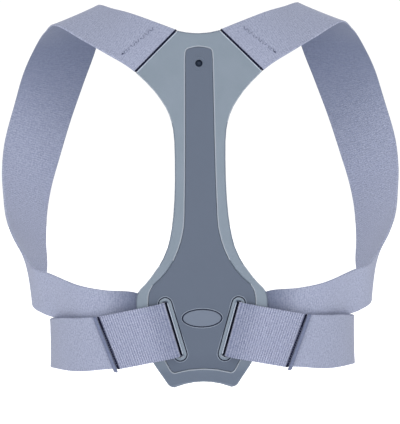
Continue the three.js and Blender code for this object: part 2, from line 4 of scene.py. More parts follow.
import bpy
import numpy as np
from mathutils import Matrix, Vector


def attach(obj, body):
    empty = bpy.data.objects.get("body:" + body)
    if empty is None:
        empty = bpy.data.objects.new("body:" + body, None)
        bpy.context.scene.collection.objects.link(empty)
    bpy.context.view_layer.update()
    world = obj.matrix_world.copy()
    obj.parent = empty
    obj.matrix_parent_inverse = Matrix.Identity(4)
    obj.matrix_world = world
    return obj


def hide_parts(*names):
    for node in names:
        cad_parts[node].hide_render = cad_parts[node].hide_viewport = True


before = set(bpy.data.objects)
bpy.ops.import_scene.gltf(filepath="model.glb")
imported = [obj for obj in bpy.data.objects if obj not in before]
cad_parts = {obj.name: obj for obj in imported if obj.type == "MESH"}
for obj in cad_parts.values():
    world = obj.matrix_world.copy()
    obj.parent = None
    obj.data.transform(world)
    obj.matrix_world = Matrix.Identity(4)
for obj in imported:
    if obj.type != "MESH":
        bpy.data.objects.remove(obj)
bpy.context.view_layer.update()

# Looks of the posture corrector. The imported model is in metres; the tables below repeat the
# bands of the part in millimetres, and every mesh is brought to metres as it is made. Two rows
# of the straps are wider than in the part, where the photo shows them so.

MM = 0.001
random.seed(41)

# Sizes shared with the solids

CLEARANCE = 0.35
PLAY = 0.6
SEAM_GAP = 0.6
PLATE_WIDTH = 116.8
PLATE_THICKNESS = 6.0
ARCH_RADIUS = 830.0
WRAP_RADIUS = 420.0
ARM_TIP = np.array([56.3, 0.0, 121.7])
SEAM_TOP = np.array([18.8, 0.0, 159.0])
PANEL_DEPTH = -5.2
WEBBING_WIDTH = 50.0
STRAP_WIDTH = 52.0
WEBBING_THICKNESS = 2.0
SLOT = {
    "out": 26.2, "up": -106.9, "slant": 16.0, "half_width": 2.4, "edge": 1.5, "draft": 2.7,
    "end_space": 0.7,
}
BADGE = {"length": 34.2, "height": 14.8, "up": -97.2}
COLLAR_TOP = -6.4
COLLAR_WIDTH = 3.1
SLOT_HALF_LENGTH = WEBBING_WIDTH / 2 + SLOT["end_space"]
POCKET = {"depth": 9.0, "share": 0.92, "gap": 1.4}
FORM = {"reach": 161.0, "depth": 155.0, "rise": 176.5}
WAIST = {
    "half_width": 136.2, "half_depth": 97.0, "centre": 95.0, "square": 2.4,
    "seam_out": 83.8, "seam_up": -118.6, "seam_slant": 20.9, "overlap": 84.0,
}
PLATE_EDGE = {"out": PLATE_WIDTH / 2 + 2, "up": -98.3, "slant": 3.0, "lift": 0.4}
HIDDEN_SEAM = {"out": 45.0, "up": -102.0, "slant": 10.0, "lift": 0.0}
BINDING = {"width": 4.4, "thickness": 1.3, "tail": 3.2, "lift": 0.75}
HOOK = {"length": 66.0, "height": 38.0, "thickness": 1.2, "gap": 0.5}
HOLE_UP = 129.4

# Steps of the bands along their length
STRAP_STEPS = 700
BELT_STEPS = 400
RIBBED_STEPS = {"behind": 20, "turn": 12, "out": 60}

# Ribs of the narrow webbing
RIB = {"pitch": 2.1, "height": 0.42, "tooth": 0.22, "first": 20.0}

# Middle line of a shoulder strap: out, fwd, up as shares of the form, lean and tilt in
# degrees, wide as a share of the strap's width
STRAP_ROWS = (
    (0.335, 0.13, 0.847, 56, 20, 0.955),
    (0.447, 0.2, 0.898, 58, 32, 0.955),
    (0.562, 0.297, 0.949, 46, 38, 0.955),
    (0.68, 0.419, 1.0, 26, 32, 0.95),
    (0.714, 0.594, 0.949, 13, 18, 1.04),
    (0.754, 0.774, 0.855, 2, 5, 1.065),
    (0.831, 0.916, 0.691, -11, 0, 1.065),
    (0.896, 0.981, 0.52, -18, 0, 1.04),
    (0.963, 1.0, 0.315, -16, 6, 1.015),
    (0.997, 0.981, 0.162, -19, 26, 1.0),
    (1.006, 0.923, 0.034, -25, 35, 1.0),
    (1.0, 0.826, -0.159, -34, 41, 1.06),
    (0.975, 0.684, -0.379, -50, 42, 1.12),
    (0.967, 0.503, -0.61, -86, 38, 1.0),
    (0.91, 0.403, -0.684, -80, 36, 1.0),
    (0.828, 0.325, -0.727, -79, 35, 1.0),
    (0.656, 0.174, -0.865, -79, 18, 1.0),
    (0.522, 0.11, -0.91, -84, 9, 0.98),
)

# Belt from the seam to the front: along as a share of the way, wide as a share of the
# webbing's width, lift in millimetres
BELT_ROWS = (
    (0.0, 0.985, 0.0),
    (0.12, 0.965, -1.6),
    (0.3, 0.885, -1.3),
    (0.45, 0.87, -0.6),
    (1.0, 0.88, 0.0),
)


# Curves and sections. A section is a pair of edge points on the face that keeps its place.

def unit(vector):
    return vector / np.linalg.norm(vector)


def smoothstep(value, low, high):
    share = min(max((value - low) / (high - low), 0.0), 1.0)
    return share * share * (3 - 2 * share)


def bend(x, z):
    return z * z / (2 * ARCH_RADIUS) + x * x / (2 * WRAP_RADIUS)


def through(points, count):
    """Even steps on a centripetal curve through the points."""
    points = [np.asarray(p, float) for p in points]
    spans = len(points) - 1
    curve = []
    for i in range(count + 1):
        at = spans * i / count
        k = min(int(at), spans - 1)
        w = at - k
        p1, p2 = points[k], points[k + 1]
        p0 = points[k - 1] if k > 0 else 2 * p1 - p2
        p3 = points[k + 2] if k + 2 <= spans else 2 * p2 - p1
        d0, d1, d2 = (
            max(np.linalg.norm(b - a), 1e-6) ** 0.5 for a, b in ((p0, p1), (p1, p2), (p2, p3))
        )
        t1 = ((p1 - p0) / d0 - (p2 - p0) / (d0 + d1) + (p2 - p1) / d1) * d1
        t2 = ((p2 - p1) / d1 - (p3 - p1) / (d1 + d2) + (p3 - p2) / d2) * d1
        c2 = 3 * (p2 - p1) - 2 * t1 - t2
        c3 = 2 * (p1 - p2) + t1 + t2
        curve.append(p1 + t1 * w + c2 * w * w + c3 * w ** 3)
    return curve


def arm_section(side, inwards, share, depth=-(PLATE_THICKNESS + WEBBING_THICKNESS) / 2):
    """Across the end of an arm of the plate, inwards from its seam with the strap."""
    along = unit(SEAM_TOP - ARM_TIP)
    inward = np.array([-along[2], 0.0, along[0]])
    middle = (ARM_TIP + SEAM_TOP) / 2 + inward * inwards
    half = np.linalg.norm(SEAM_TOP - ARM_TIP) / 2 * share

    def place(sign):
        p = middle + along * sign * half
        return np.array([side * p[0], bend(p[0], p[2]) + depth, p[2]])
    return place(1), place(-1)


def strap_rails(side):
    """Both edges of a shoulder strap at each of its rows."""
    centres = [
        np.array([
            out * FORM["reach"],
            fwd * FORM["depth"],
            up * FORM["rise"] if up >= 0 else -up * SLOT["up"],
        ])
        for out, fwd, up, _, _, _ in STRAP_ROWS
    ]
    flip = np.array([side, 1.0, 1.0])
    rails = []
    for i, (_, _, _, lean, tilt, wide) in enumerate(STRAP_ROWS):
        lean, tilt = math.radians(lean), math.radians(tilt)
        across = np.array([
            math.cos(tilt) * math.cos(lean), -math.sin(tilt), -math.cos(tilt) * math.sin(lean),
        ])
        way = unit(centres[min(i + 1, len(centres) - 1)] - centres[max(i - 1, 0)])
        half = STRAP_WIDTH * wide / 2 / np.linalg.norm(np.cross(across, way))
        rails.append(((centres[i] - across * half) * flip, (centres[i] + across * half) * flip))
    return rails


def behind_plate(side, out, section):
    """Across the webbing where it lies behind the plate."""
    slant = math.radians(section["slant"])

    def place(sign):
        x = out + sign * WEBBING_WIDTH / 2 * math.sin(slant)
        z = section["up"] + sign * WEBBING_WIDTH / 2 * math.cos(slant)
        return np.array([side * x, bend(x, z) + PLAY + section["lift"], z])
    return place(-1), place(1)


def rail_sections(rails, count):
    """Sections at even steps of two smooth edges through the rails."""
    first, second = ([rail[k] for rail in rails] for k in (0, 1))
    return list(zip(through(first, count), through(second, count)))


def strap_sections(side):
    """From the pocket in the arm of the plate, over the shoulder, to the hidden seam."""
    rails = [
        arm_section(side, -POCKET["gap"], 1),
        *strap_rails(side),
        behind_plate(side, PLATE_EDGE["out"], PLATE_EDGE),
        behind_plate(side, HIDDEN_SEAM["out"], HIDDEN_SEAM),
    ]
    return [
        arm_section(side, POCKET["depth"], POCKET["share"]),
        arm_section(side, -POCKET["gap"] + CLEARANCE, POCKET["share"]),
        *rail_sections(rails, STRAP_STEPS),
    ]


def waist_depth(x):
    """Depth of the back half of the waist's rounded oval at x."""
    share = min(abs(x) / WAIST["half_width"], 1.0)
    fall = (1 - share ** WAIST["square"]) ** (1 / WAIST["square"])
    return WAIST["centre"] - WAIST["half_depth"] * fall


def seam_section(side, shift):
    slant = math.radians(WAIST["seam_slant"])

    def place(sign):
        x = WAIST["seam_out"] + shift + sign * WEBBING_WIDTH / 2 * math.sin(slant)
        z = WAIST["seam_up"] + sign * WEBBING_WIDTH / 2 * math.cos(slant)
        return np.array([side * x, waist_depth(x), z])
    return place(-1), place(1)


def slot_point(side, across, along, depth):
    slant = math.radians(SLOT["slant"])
    x = SLOT["out"] + across * math.cos(slant) + along * math.sin(slant)
    z = SLOT["up"] - across * math.sin(slant) + along * math.cos(slant)
    return np.array([side * x, bend(x, z) + depth, z])


def ribbed_sections(side):
    """From the hidden seam behind the plate, round the bar of the slot, out to the belt."""
    half = WEBBING_WIDTH / 2

    def across(distance, depth):
        return slot_point(side, distance, -half, depth), slot_point(side, distance, half, depth)

    turn = SLOT["edge"] + PLAY
    centre = SLOT["half_width"] + SLOT["edge"]
    hidden = behind_plate(side, HIDDEN_SEAM["out"] - SEAM_GAP, HIDDEN_SEAM)
    bar = across(centre + SLOT["draft"], PLAY)
    sections = []
    for i in range(RIBBED_STEPS["behind"]):
        pair = []
        for p, q in zip(hidden, bar):
            m = p + (q - p) * i / RIBBED_STEPS["behind"]
            pair.append(np.array([m[0], bend(m[0], m[2]) + PLAY, m[2]]))
        sections.append(tuple(pair))
    angles = [math.pi / 2 * i / RIBBED_STEPS["turn"] for i in range(RIBBED_STEPS["turn"] + 1)]
    for angle in angles:
        sections.append(across(
            centre + SLOT["draft"] - turn * math.sin(angle), -SLOT["edge"] + turn * math.cos(angle),
        ))
    for angle in angles:
        sections.append(across(
            centre - turn * math.cos(angle), COLLAR_TOP + SLOT["edge"] - turn * math.sin(angle),
        ))
    over = across(SLOT["half_width"] + COLLAR_WIDTH, COLLAR_TOP - PLAY)
    seam = seam_section(side, -SEAM_GAP / 2)
    for i in range(RIBBED_STEPS["out"] + 1):
        share = i / RIBBED_STEPS["out"]
        pair = []
        for p, q in zip(over, seam):
            m = p + (q - p) * share
            on_plate = bend(m[0], m[2]) + COLLAR_TOP - PLAY
            blend = smoothstep(share, 0.35, 1.0)
            pair.append(np.array([m[0], on_plate + (waist_depth(m[0]) - on_plate) * blend, m[2]]))
        sections.append(tuple(pair))
    return sections


def waist_point(side, angle, height, offset):
    """A point of the waist's oval, at an angle from the back and offset outwards."""
    power = 2 / WAIST["square"]
    sine, cosine = math.sin(angle), math.cos(angle)
    x = (WAIST["half_width"] + offset) * math.copysign(abs(sine) ** power, sine)
    y = WAIST["centre"] - (WAIST["half_depth"] + offset) * math.copysign(abs(cosine) ** power, cosine)
    return np.array([side * x, y, height])


def waist_angle(x):
    return math.asin((abs(x) / WAIST["half_width"]) ** (WAIST["square"] / 2))


def belt_row(along, column):
    """One column of the belt's rows, smooth between them."""
    i = 0
    while i < len(BELT_ROWS) - 2 and BELT_ROWS[i + 1][0] < along:
        i += 1
    low, high = BELT_ROWS[i], BELT_ROWS[i + 1]
    return low[column] + (high[column] - low[column]) * smoothstep(along, low[0], high[0])


def belt_sections(side, outside):
    seam = seam_section(side, SEAM_GAP / 2)
    starts = [waist_angle(p[0]) for p in seam]
    end = math.pi + waist_angle(WAIST["overlap"] / 2)
    stack = WEBBING_THICKNESS + HOOK["thickness"] + 2 * HOOK["gap"]
    sections = []
    for i in range(BELT_STEPS + 1):
        along = i / BELT_STEPS
        half = WEBBING_WIDTH / 2 * belt_row(along, 1)
        middle = WAIST["seam_up"] + belt_row(along, 2)
        slant = math.radians(WAIST["seam_slant"]) * (1 - smoothstep(along, 0.0, 0.2))
        offset = stack * smoothstep(along, 0.55, 0.8) if outside else 0.0
        height = half * math.cos(slant)
        sections.append(tuple(
            waist_point(side, start + (end - start) * along, middle + sign * height, offset)
            for start, sign in zip(starts, (-1, 1))
        ))
    return sections


def resample(sections, step):
    """Sections at even steps of the middle line, each with its place along it."""
    middles = [(a + b) / 2 for a, b in sections]
    lengths = [np.linalg.norm(q - p) for p, q in zip(middles, middles[1:])]
    walked = np.concatenate([[0.0], np.cumsum(lengths)])
    count = max(int(walked[-1] / step), 2)
    places = np.linspace(0.0, walked[-1], count + 1)
    rail = [np.array([s[k] for s in sections]) for k in (0, 1)]
    even = [np.stack([np.interp(places, walked, r[:, c]) for c in range(3)], axis=1) for r in rail]
    return list(zip(even[0], even[1], places))


def normals_of(rings, growth):
    """Unit vectors along which the band's thickness grows."""
    normals = []
    for i, (a, b, _) in enumerate(rings):
        before, after = rings[max(i - 1, 0)], rings[min(i + 1, len(rings) - 1)]
        way = after[0] + after[1] - before[0] - before[1]
        normals.append(unit(np.cross(way, b - a)) * growth)
    return normals


# Meshes

def make_object(name, vertices, faces, material):
    mesh = bpy.data.meshes.new(name)
    mesh.from_pydata([tuple(float(c) * MM for c in v) for v in vertices], [], faces)
    mesh.polygons.foreach_set("use_smooth", [True] * len(mesh.polygons))
    mesh.update()
    piece = bpy.data.objects.new(name, mesh)
    bpy.context.scene.collection.objects.link(piece)
    mesh.materials.append(material)
    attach(piece, "root")
    return piece


def loop_faces(low, high, count):
    """Faces between two closed loops of count vertices that start at low and high."""
    return [
        (low + i, low + (i + 1) % count, high + (i + 1) % count, high + i) for i in range(count)
    ]


def set_weave(piece, place):
    """Stores the place along and across the band, and the shade, for the fabrics."""
    weave = piece.data.attributes.new("weave", "FLOAT_VECTOR", "POINT")
    weave.data.foreach_set("vector", [c for p in place for c in p])


# Distances from the edge of a band at which its section has points, and the radius of the edge
EDGE_STEPS = (0.12, 0.4, 0.85, 1.5)
EDGE_RADIUS = 0.85

# Where the thicker selvedge lies and how fast it fades, and how far in the ribs reach full height
SELVEDGE = {"at": 1.0, "fade": 0.7}
RIB_RISE = 1.2


def no_shade(centre, outer):
    return 0.0


def band(name, sections, material, growth, step=1.2, thickness=WEBBING_THICKNESS,
         middle_columns=9, rib=None, selvedge=0.0, shade=no_shade):
    """A closed woven band with rounded edges. rib gives pitch, height and first place, and shade
    says how deep a place lies in the shade of the pieces beside it."""
    rings = resample(sections, step)
    normals = normals_of(rings, growth)
    vertices, faces, place = [], [], []
    half_thick = thickness / 2
    for (a, b, u), normal in zip(rings, normals):
        width = np.linalg.norm(b - a)
        across = (b - a) / width
        wave = 0.0
        if rib and u > rib["first"]:
            wave = (0.5 + 0.5 * math.cos(2 * math.pi * u / rib["pitch"])) ** 0.7
        grow = rib["tooth"] * wave if rib else 0.0
        low, wide = a - across * grow, width + 2 * grow
        distances = [0.0, *EDGE_STEPS]
        plain = wide - 2 * EDGE_STEPS[-1]
        inner = [
            EDGE_STEPS[-1] + plain * k / (middle_columns + 1) for k in range(1, middle_columns + 1)
        ]
        columns = distances + inner + [wide - d for d in reversed(distances)]

        def half_at(d):
            e = min(d, wide - d)
            shape = math.sqrt(max(0.0, 1 - (1 - min(e / EDGE_RADIUS, 1.0)) ** 2))
            roll = selvedge * math.exp(-((e - SELVEDGE["at"]) / SELVEDGE["fade"]) ** 2)
            height = rib["height"] * (wave - 1.0) * min(e / RIB_RISE, 1.0) if rib else 0.0
            return (half_thick + roll + height) * shape
        front = [low + across * d + normal * (half_thick - half_at(d)) for d in columns]
        back = [low + across * d + normal * (half_thick + half_at(d)) for d in columns[1:-1]]
        vertices.extend(front + back[::-1])
        middle = (a + b) / 2
        outer_shade, inner_shade = shade(middle, True), shade(middle, False)
        place.extend((u, d - wide / 2, outer_shade) for d in columns)
        place.extend((u, d - wide / 2, inner_shade) for d in columns[1:-1][::-1])
    count = 2 * len(columns) - 2
    for r in range(len(rings) - 1):
        faces.extend(loop_faces(r * count, (r + 1) * count, count))
    for base, order in ((0, 1), ((len(rings) - 1) * count, -1)):
        for i in range(len(columns) - 1):
            quad = [base + i, base + (count - i) % count, base + count - i - 1, base + i + 1]
            quad = list(dict.fromkeys(quad))
            if len(quad) > 2:
                faces.append(tuple(quad[::order]))
    piece = make_object(name, vertices, faces, material)
    set_weave(piece, place)
    orient_outward(piece)
    return piece, rings, normals


def orient_outward(piece):
    """Turns the faces round where the mesh is inside out."""
    mesh = piece.data
    volume = 0.0
    for polygon in mesh.polygons:
        corners = [mesh.vertices[v].co for v in polygon.vertices]
        for i in range(1, len(corners) - 1):
            volume += corners[0].dot(corners[i].cross(corners[i + 1]))
    if volume < 0:
        mesh.flip_normals()


def threads(name, paths, radius, material, sides=6):
    """One object of round threads along short paths, with closed ends."""
    vertices, faces = [], []
    for path in paths:
        base = len(vertices)
        for i, p in enumerate(path):
            way = unit(path[min(i + 1, len(path) - 1)] - path[max(i - 1, 0)])
            helper = np.array([0.0, 0.0, 1.0]) if abs(way[2]) < 0.9 else np.array([1.0, 0.0, 0.0])
            one = unit(np.cross(way, helper))
            two = np.cross(way, one)
            end = 0.45 if i in (0, len(path) - 1) else 1.0
            for s in range(sides):
                angle = 2 * math.pi * s / sides
                vertices.append(p + (one * math.cos(angle) + two * math.sin(angle)) * radius * end)
        for i in range(len(path) - 1):
            faces.extend(loop_faces(base + i * sides, base + (i + 1) * sides, sides))
        faces.append(tuple(base + s for s in reversed(range(sides))))
        faces.append(tuple(base + (len(path) - 1) * sides + s for s in range(sides)))
    make_object(name, vertices, faces, material)


def stitch(start, end, normal, rise):
    """One stitch from start to end, arched over the cloth along the normal."""
    steps = (0.0, 0.15, 0.5, 0.85, 1.0)
    heights = (-0.25, 0.7, 1.0, 0.7, -0.25)
    return [start + (end - start) * s + normal * rise * h for s, h in zip(steps, heights)]


# Materials

def linear(red, green, blue):
    def one(value):
        value /= 255
        return value / 12.92 if value <= 0.04045 else ((value + 0.055) / 1.055) ** 2.4
    return one(red), one(green), one(blue), 1.0


def add(tree, kind, values=None, **settings):
    node = tree.nodes.new(kind)
    for key, value in settings.items():
        setattr(node, key, value)
    for key, value in (values or {}).items():
        node.inputs[key].default_value = value
    return node


def maths(tree, operation, first, second=None, third=None):
    node = add(tree, "ShaderNodeMath", operation=operation)
    for i, value in enumerate((first, second, third)):
        if value is None:
            continue
        if isinstance(value, (int, float)):
            node.inputs[i].default_value = value
        else:
            tree.links.new(value, node.inputs[i])
    return node.outputs[0]


def new_group(name, floats, outputs):
    """A group that takes a place and the floats, with their defaults, and gives floats."""
    group = bpy.data.node_groups.new(name, "ShaderNodeTree")
    new_socket = group.interface.new_socket
    new_socket(name="Place", in_out="INPUT", socket_type="NodeSocketVector")
    for label, value in floats.items():
        socket = new_socket(name=label, in_out="INPUT", socket_type="NodeSocketFloat")
        socket.default_value = value
    for label in outputs:
        new_socket(name=label, in_out="OUTPUT", socket_type="NodeSocketFloat")
    return group, add(group, "NodeGroupInput"), add(group, "NodeGroupOutput")


def noise(tree, place, detail, roughness, scale):
    """Noise at a place. Its scale is a number or comes from a socket."""
    node = add(tree, "ShaderNodeTexNoise", {"Detail": detail, "Roughness": roughness})
    tree.links.new(place, node.inputs["Vector"])
    if isinstance(scale, float):
        node.inputs["Scale"].default_value = scale
    else:
        tree.links.new(scale, node.inputs["Scale"])
    return node.outputs["Fac"]


def raise_relief(tree, shader, height, strength, depth):
    """Bumps of a depth in millimetres."""
    node = add(tree, "ShaderNodeBump", {"Strength": strength, "Distance": depth * MM})
    tree.links.new(height, node.inputs["Height"])
    tree.links.new(node.outputs[0], shader.inputs["Normal"])


def make_weave_group():
    """Plain weave along and across a band. All outputs go from 0 to 1."""
    group, entry, leave = new_group(
        "woven_band",
        {"Rib pitch": 1.0, "Yarn pitch": 0.9, "Unevenness": 0.3, "Rib tone": 0.4, "Speckle tone": 0.6},
        ("Height", "Tone", "Melange", "Shade"),
    )
    link = group.links.new

    def calc(operation, *values):
        return maths(group, operation, *values)

    def ripple(value):
        wave = calc("COSINE", calc("MULTIPLY", value, 2 * math.pi))
        return calc("MULTIPLY_ADD", wave, 0.5, 0.5)
    place = entry.outputs["Place"]
    parts = add(group, "ShaderNodeSeparateXYZ")
    link(place, parts.inputs[0])
    uneven = calc("SUBTRACT", noise(group, place, 2.0, 0.5, 0.3), 0.5)
    shift = calc("MULTIPLY", uneven, entry.outputs["Unevenness"])
    along = calc("ADD", parts.outputs[0], shift)
    rows = calc("DIVIDE", along, entry.outputs["Rib pitch"])
    rib = ripple(rows)
    columns = calc("DIVIDE", parts.outputs[1], entry.outputs["Yarn pitch"])
    stagger = calc("MULTIPLY", calc("ROUND", rows), 0.5)
    yarn = ripple(calc("ADD", columns, stagger))
    height = calc("MULTIPLY", rib, calc("MULTIPLY_ADD", yarn, 0.45, 0.55))
    dots = add(group, "ShaderNodeMapRange", {"From Min": 0.36, "From Max": 0.64})
    link(noise(group, place, 2.0, 0.7, 0.62), dots.inputs[0])
    ridge = calc("SUBTRACT", height, 0.4)
    tone = calc("MULTIPLY_ADD", ridge, entry.outputs["Rib tone"], 0.5)
    dot = calc("SUBTRACT", dots.outputs[0], 0.5)
    tone = calc("MULTIPLY_ADD", dot, entry.outputs["Speckle tone"], tone)
    tone = calc("MINIMUM", calc("MAXIMUM", tone, 0.0), 1.0)
    link(height, leave.inputs["Height"])
    link(tone, leave.inputs["Tone"])
    link(noise(group, place, 3.0, 0.6, 0.06), leave.inputs["Melange"])
    link(parts.outputs[2], leave.inputs["Shade"])
    return group


def make_moulding_group():
    """Fine grain and faint clouds of a moulded plastic, with masks where light and shade are painted.
    The lip mask marks the faces that slope towards the middle, for a painted highlight; the edge mask
    those that slope away from it, for painted light and shade on rounded edges; the arm edge mask
    those along the arm seams, for a painted highlight; the foot mask the lower end, for painted shade."""
    group, entry, leave = new_group(
        "moulded_skin", {"Grain": 1400.0}, ("Height", "Tone", "Lip highlight", "Edge light and shade", "Arm edge highlight", "Foot shade"),
    )
    link = group.links.new

    def calc(operation, *values):
        return maths(group, operation, *values)
    grain = noise(group, entry.outputs["Place"], 3.0, 0.6, entry.outputs["Grain"])
    cloud = noise(group, entry.outputs["Place"], 4.0, 0.55, 45.0)
    turned = add(group, "ShaderNodeNewGeometry")
    normal = add(group, "ShaderNodeSeparateXYZ")
    link(turned.outputs["True Normal"], normal.inputs[0])
    place = add(group, "ShaderNodeSeparateXYZ")
    link(entry.outputs["Place"], place.inputs[0])
    steep = add(group, "ShaderNodeMapRange", {"From Min": 0.93, "From Max": 0.8})
    link(calc("ABSOLUTE", normal.outputs[1]), steep.inputs[0])

    def tilt(axis, radius):
        bent = -1 / (radius * MM)
        return calc("MULTIPLY_ADD", place.outputs[axis], bent, normal.outputs[axis])
    tilt_x, tilt_z = tilt(0, WRAP_RADIUS), tilt(2, ARCH_RADIUS)
    away_x = calc("MULTIPLY", tilt_x, place.outputs[0])
    away_z = calc("MULTIPLY", tilt_z, place.outputs[2])
    outward = calc("GREATER_THAN", calc("ADD", away_x, away_z), 0.0)
    edge = calc("MULTIPLY", steep.outputs[0], outward)
    sideways = calc("GREATER_THAN", calc("ABSOLUTE", tilt_x), 0.3)
    above = calc("GREATER_THAN", place.outputs[2], float(ARM_TIP[2]) * MM)
    arm = calc("MULTIPLY", above, sideways)
    foot = add(group, "ShaderNodeMapRange", {"From Min": FOOT_SHADE_FADE[0], "From Max": FOOT_SHADE_FADE[1]})
    link(place.outputs[2], foot.inputs[0])
    link(grain, leave.inputs["Height"])
    link(cloud, leave.inputs["Tone"])
    link(calc("SUBTRACT", steep.outputs[0], edge), leave.inputs["Lip highlight"])
    link(edge, leave.inputs["Edge light and shade"])
    link(calc("MULTIPLY", edge, arm), leave.inputs["Arm edge highlight"])
    link(foot.outputs[0], leave.inputs["Foot shade"])
    return group


def new_material(name, roughness, sheen=0.0):
    material = bpy.data.materials.new(name)
    material.use_nodes = True
    tree = material.node_tree
    shader = tree.nodes["Principled BSDF"]
    shader.inputs["Roughness"].default_value = roughness
    shader.inputs["Sheen Weight"].default_value = sheen
    shader.inputs["Sheen Roughness"].default_value = 0.6
    shader.inputs["Specular IOR Level"].default_value = 0.3
    return material, tree, shader


def mix_colour(tree, factor, first, second):
    node = add(tree, "ShaderNodeMix", data_type="RGBA")
    tree.links.new(factor, node.inputs["Factor"])
    for socket, value in ((node.inputs[6], first), (node.inputs[7], second)):
        if isinstance(value, tuple):
            socket.default_value = value
        else:
            tree.links.new(value, socket)
    return node.outputs[2]


def fabric(name, dark, light, melange, rib_pitch, yarn_pitch, depth, unevenness=0.3, rib_tone=0.4,
           speckle_tone=0.6, sheen=0.15, shaded=(84, 95, 122)):
    material, tree, shader = new_material(name, 0.92, sheen)
    link = tree.links.new
    place = add(tree, "ShaderNodeAttribute", attribute_name="weave")
    cloth = add(tree, "ShaderNodeGroup", {
        "Rib pitch": rib_pitch, "Yarn pitch": yarn_pitch, "Unevenness": unevenness,
        "Rib tone": rib_tone, "Speckle tone": speckle_tone,
    }, node_tree=WEAVE)
    link(place.outputs["Vector"], cloth.inputs["Place"])
    yarns = mix_colour(tree, cloth.outputs["Tone"], linear(*dark), linear(*light))
    cloudy = add(tree, "ShaderNodeMapRange", {"From Min": 0.35, "From Max": 0.65, "To Max": 0.4})
    link(cloth.outputs["Melange"], cloudy.inputs[0])
    colour = mix_colour(tree, cloudy.outputs[0], yarns, linear(*melange))
    colour = mix_colour(tree, cloth.outputs["Shade"], colour, linear(*shaded))
    link(colour, shader.inputs["Base Color"])
    raise_relief(tree, shader, cloth.outputs["Height"], 0.6, depth)
    return material


def moulded(name, base, cloud, lip, edge, foot, roughness, grain):
    material, tree, shader = new_material(name, roughness)
    link = tree.links.new
    place = add(tree, "ShaderNodeTexCoord")
    skin = add(tree, "ShaderNodeGroup", {"Grain": grain}, node_tree=MOULDING)
    link(place.outputs["Object"], skin.inputs["Place"])
    body = mix_colour(tree, skin.outputs["Tone"], linear(*base), linear(*cloud))
    # Painted shade at the foot, painted light and shade on rounded edges, painted highlights along the
    # arm seams and on the lips
    for mask, tint in (("Foot shade", foot), ("Edge light and shade", edge), ("Arm edge highlight", lip), ("Lip highlight", lip)):
        body = mix_colour(tree, skin.outputs[mask], body, linear(*tint))
    link(body, shader.inputs["Base Color"])
    rough = maths(tree, "MULTIPLY_ADD", skin.outputs["Tone"], 0.12, roughness - 0.06)
    link(rough, shader.inputs["Roughness"])
    raise_relief(tree, shader, skin.outputs["Height"], 0.25, 0.05)
    return material


def thread(name, dark, light):
    material, tree, shader = new_material(name, 0.7, 0.2)
    link = tree.links.new
    place = add(tree, "ShaderNodeTexCoord")
    twist = add(tree, "ShaderNodeTexWave", {"Scale": 1500.0, "Distortion": 2.0})
    link(place.outputs["Object"], twist.inputs["Vector"])
    yarn = mix_colour(tree, twist.outputs["Fac"], linear(*dark), linear(*light))
    link(yarn, shader.inputs["Base Color"])
    raise_relief(tree, shader, twist.outputs["Fac"], 0.5, 0.05)
    return material


# Heights between which the plastic fades to the painted shade of its foot, in metres
FOOT_SHADE_FADE = (-0.128, -0.146)

WEAVE = make_weave_group()
MOULDING = make_moulding_group()

# Colours of a plastic: base, cloud, painted lip highlight, painted edge light and shade, painted foot
# shade, then roughness and grain
frame_plastic = moulded(
    "frame_plastic",
    (124, 137, 149), (138, 149, 163), (174, 182, 193), (117, 128, 144), (102, 113, 130), 0.5, 1500.0)
panel_plastic = moulded(
    "panel_plastic",
    (93, 103, 120), (97, 107, 124), (125, 136, 152), (87, 97, 114), (90, 100, 117), 0.58, 1800.0)
badge_plastic = moulded(
    "badge_plastic",
    (112, 122, 139), (115, 125, 142), (134, 144, 159), (126, 136, 152), (112, 122, 139), 0.5, 1800.0)
# Light plastics of the beads that paint highlights on the lips and rounded edges
lip_highlight_plastic = moulded(
    "lip_highlight_plastic",
    (140, 150, 166), (146, 156, 172), (158, 167, 182), (146, 156, 172), (124, 134, 152), 0.5, 1800.0)
rim_highlight_plastic = moulded(
    "rim_highlight_plastic",
    (174, 185, 200), (182, 192, 206), (182, 192, 206), (182, 192, 206), (150, 160, 174), 0.45, 1800.0)
# Dark plastic of the core that paints the shade inside the hole
hole_shade_plastic = moulded(
    "hole_shade_plastic",
    (44, 54, 72), (52, 62, 80), (60, 70, 88), (60, 70, 88), (44, 54, 72), 0.5, 1800.0)
groove_shade = moulded(
    "groove_shade",
    (28, 35, 54), (34, 42, 62), (34, 42, 62), (34, 42, 62), (28, 35, 54), 0.7, 1800.0)

# Colours of a fabric: dark and light yarn and melange, then its pitches and the depth of its relief
smooth_elastic = fabric(
    "smooth_elastic", (147, 153, 178), (191, 196, 218), (171, 176, 200), 2.1, 1.5, 0.16,
    unevenness=2.4, rib_tone=0.42, speckle_tone=0.75)
ribbed_elastic = fabric(
    "ribbed_elastic", (104, 110, 142), (192, 197, 219), (150, 156, 182), RIB["pitch"], 1.7, 0.14,
    unevenness=0.35, rib_tone=0.72, speckle_tone=0.5)
binding_tape = fabric("binding_tape", (96, 104, 134), (130, 138, 164), (112, 119, 147), 1.6, 1.4, 0.1)
hook_tape = fabric("hook_tape", (90, 98, 118), (126, 132, 150), (106, 113, 132), 1.6, 1.6, 0.4)
# Navy sheets of painted shade in the gaps, the slots and the groove beside each seam bar
navy_shade = fabric("navy_shade", (8, 12, 34), (20, 26, 56), (14, 18, 44), 1.6, 1.4, 0.06, sheen=0.0)

pale_thread = thread("pale_thread", (112, 118, 142), (138, 144, 168))
dark_thread = thread("dark_thread", (66, 72, 100), (84, 90, 118))
navy_thread = thread("navy_thread", (74, 82, 120), (100, 108, 144))


# Moulded nodes keep their solids, with rounded shading

# Edges that bend by more than this stay sharp, in degrees
SHARP_FROM = 32


